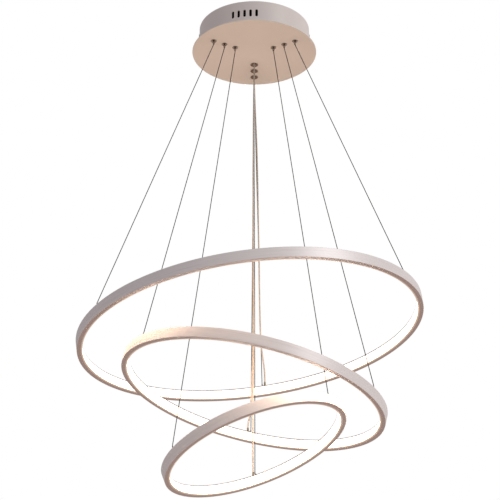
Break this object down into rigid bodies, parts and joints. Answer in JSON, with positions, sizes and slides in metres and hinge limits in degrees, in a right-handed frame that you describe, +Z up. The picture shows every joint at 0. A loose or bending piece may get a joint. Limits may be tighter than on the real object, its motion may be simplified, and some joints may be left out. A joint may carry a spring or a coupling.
{
  "type": "pendant chandelier",
  "caption": "Ceiling pendant with tilted concentric LED rings on thin steel wires in self-locking grippers under a round canopy.",
  "frame": {"origin": "middle of the ceiling bracket's two slots, on the ceiling plane", "axes": "+Z up into the ceiling; +X to the right and +Y away from someone who faces the vent slots"},
  "size_m": [0.7962, 0.8, 1.1711],
  "materials": {
    "canopy_paint": "fine satin champagne paint",
    "brushed_aluminium": "brushed along the ring, pale champagne",
    "opal_diffuser": "opal, lit from behind",
    "led_board": "white flexible board with LED chips",
    "wire_steel": "fine stranded steel",
    "clear_cord": "translucent tan flexible cord",
    "white_cord": "white flexible cord",
    "nickel": "nickel plated, turned",
    "zinc_steel": "zinc plated",
    "spring_steel": "plain spring steel",
    "dark_plastic": "moulded, fine grain",
    "driver_plastic": "moulded, fine grain",
    "circuit_board": "green board with potted parts",
    "terminal_plastic": "moulded"
  },
  "bodies": {
    "canopy": {"canopy_housing": "canopy_paint", "canopy_plate": "canopy_paint", "ceiling_bracket": "zinc_steel", "driver_boards": "circuit_board", "driver_case_1": "driver_plastic", "driver_case_2": "driver_plastic", "driver_case_3": "driver_plastic", "driver_lids": "driver_plastic", "driver_screws": "zinc_steel", "gripper_barrels": "nickel", "gripper_locknuts": "zinc_steel", "gripper_springs": "spring_steel", "large_power_cord": "clear_cord", "large_wire_far": "wire_steel", "large_wire_left": "wire_steel", "large_wire_right": "wire_steel", "medium_power_cord": "clear_cord", "medium_wire_far": "wire_steel", "medium_wire_left": "wire_steel", "medium_wire_right": "wire_steel", "output_leads": "clear_cord", "plate_nuts": "zinc_steel", "plate_studs": "zinc_steel", "side_screws": "zinc_steel", "small_power_cord": "clear_cord", "small_wire_far": "wire_steel", "small_wire_left": "wire_steel", "small_wire_right": "wire_steel", "supply_leads": "white_cord", "terminal_block": "terminal_plastic", "terminal_screws": "zinc_steel", "wire_tails": "wire_steel"},
    "large_ring": {"large_ring_anchor_nuts": "zinc_steel", "large_ring_anchors": "nickel", "large_ring_channel": "brushed_aluminium", "large_ring_cord_gland": "dark_plastic", "large_ring_diffuser": "opal_diffuser", "large_ring_led_strip": "led_board"},
    "large_release_left": {"large_release_left": "nickel"},
    "large_release_right": {"large_release_right": "nickel"},
    "large_release_far": {"large_release_far": "nickel"},
    "medium_ring": {"medium_ring_anchor_nuts": "zinc_steel", "medium_ring_anchors": "nickel", "medium_ring_channel": "brushed_aluminium", "medium_ring_cord_gland": "dark_plastic", "medium_ring_diffuser": "opal_diffuser", "medium_ring_led_strip": "led_board"},
    "medium_release_left": {"medium_release_left": "nickel"},
    "medium_release_right": {"medium_release_right": "nickel"},
    "medium_release_far": {"medium_release_far": "nickel"},
    "small_ring": {"small_ring_anchor_nuts": "zinc_steel", "small_ring_anchors": "nickel", "small_ring_channel": "brushed_aluminium", "small_ring_cord_gland": "dark_plastic", "small_ring_diffuser": "opal_diffuser", "small_ring_led_strip": "led_board"},
    "small_release_left": {"small_release_left": "nickel"},
    "small_release_right": {"small_release_right": "nickel"},
    "small_release_far": {"small_release_far": "nickel"}
  },
  "joints": [
    {"name": "large_ring_height", "type": "slide", "parent": "canopy", "child": "large_ring", "axis": [0, 0, 1], "range_m": [0, 0.25], "deforming": ["large_wire_left", "large_wire_right", "large_wire_far", "large_power_cord"]},
    {"name": "medium_ring_height", "type": "slide", "parent": "canopy", "child": "medium_ring", "axis": [0, 0, 1], "range_m": [0, 0.25], "deforming": ["medium_wire_left", "medium_wire_right", "medium_wire_far", "medium_power_cord"]},
    {"name": "small_ring_height", "type": "slide", "parent": "canopy", "child": "small_ring", "axis": [0, 0, 1], "range_m": [0, 0.25], "deforming": ["small_wire_left", "small_wire_right", "small_wire_far", "small_power_cord"]},
    {"name": "large_left_release", "type": "slide", "parent": "canopy", "child": "large_release_left", "axis": [0, 0, 1], "range_m": [0, 0.002], "stiffness_N_per_m": 400, "springref_m": -0.002},
    {"name": "large_right_release", "type": "slide", "parent": "canopy", "child": "large_release_right", "axis": [0, 0, 1], "range_m": [0, 0.002], "stiffness_N_per_m": 400, "springref_m": -0.002},
    {"name": "large_far_release", "type": "slide", "parent": "canopy", "child": "large_release_far", "axis": [0, 0, 1], "range_m": [0, 0.002], "stiffness_N_per_m": 400, "springref_m": -0.002},
    {"name": "medium_left_release", "type": "slide", "parent": "canopy", "child": "medium_release_left", "axis": [0, 0, 1], "range_m": [0, 0.002], "stiffness_N_per_m": 400, "springref_m": -0.002},
    {"name": "medium_right_release", "type": "slide", "parent": "canopy", "child": "medium_release_right", "axis": [0, 0, 1], "range_m": [0, 0.002], "stiffness_N_per_m": 400, "springref_m": -0.002},
    {"name": "medium_far_release", "type": "slide", "parent": "canopy", "child": "medium_release_far", "axis": [0, 0, 1], "range_m": [0, 0.002], "stiffness_N_per_m": 400, "springref_m": -0.002},
    {"name": "small_left_release", "type": "slide", "parent": "canopy", "child": "small_release_left", "axis": [0, 0, 1], "range_m": [0, 0.002], "stiffness_N_per_m": 400, "springref_m": -0.002},
    {"name": "small_right_release", "type": "slide", "parent": "canopy", "child": "small_release_right", "axis": [0, 0, 1], "range_m": [0, 0.002], "stiffness_N_per_m": 400, "springref_m": -0.002},
    {"name": "small_far_release", "type": "slide", "parent": "canopy", "child": "small_release_far", "axis": [0, 0, 1], "range_m": [0, 0.002], "stiffness_N_per_m": 400, "springref_m": -0.002}
  ]
}
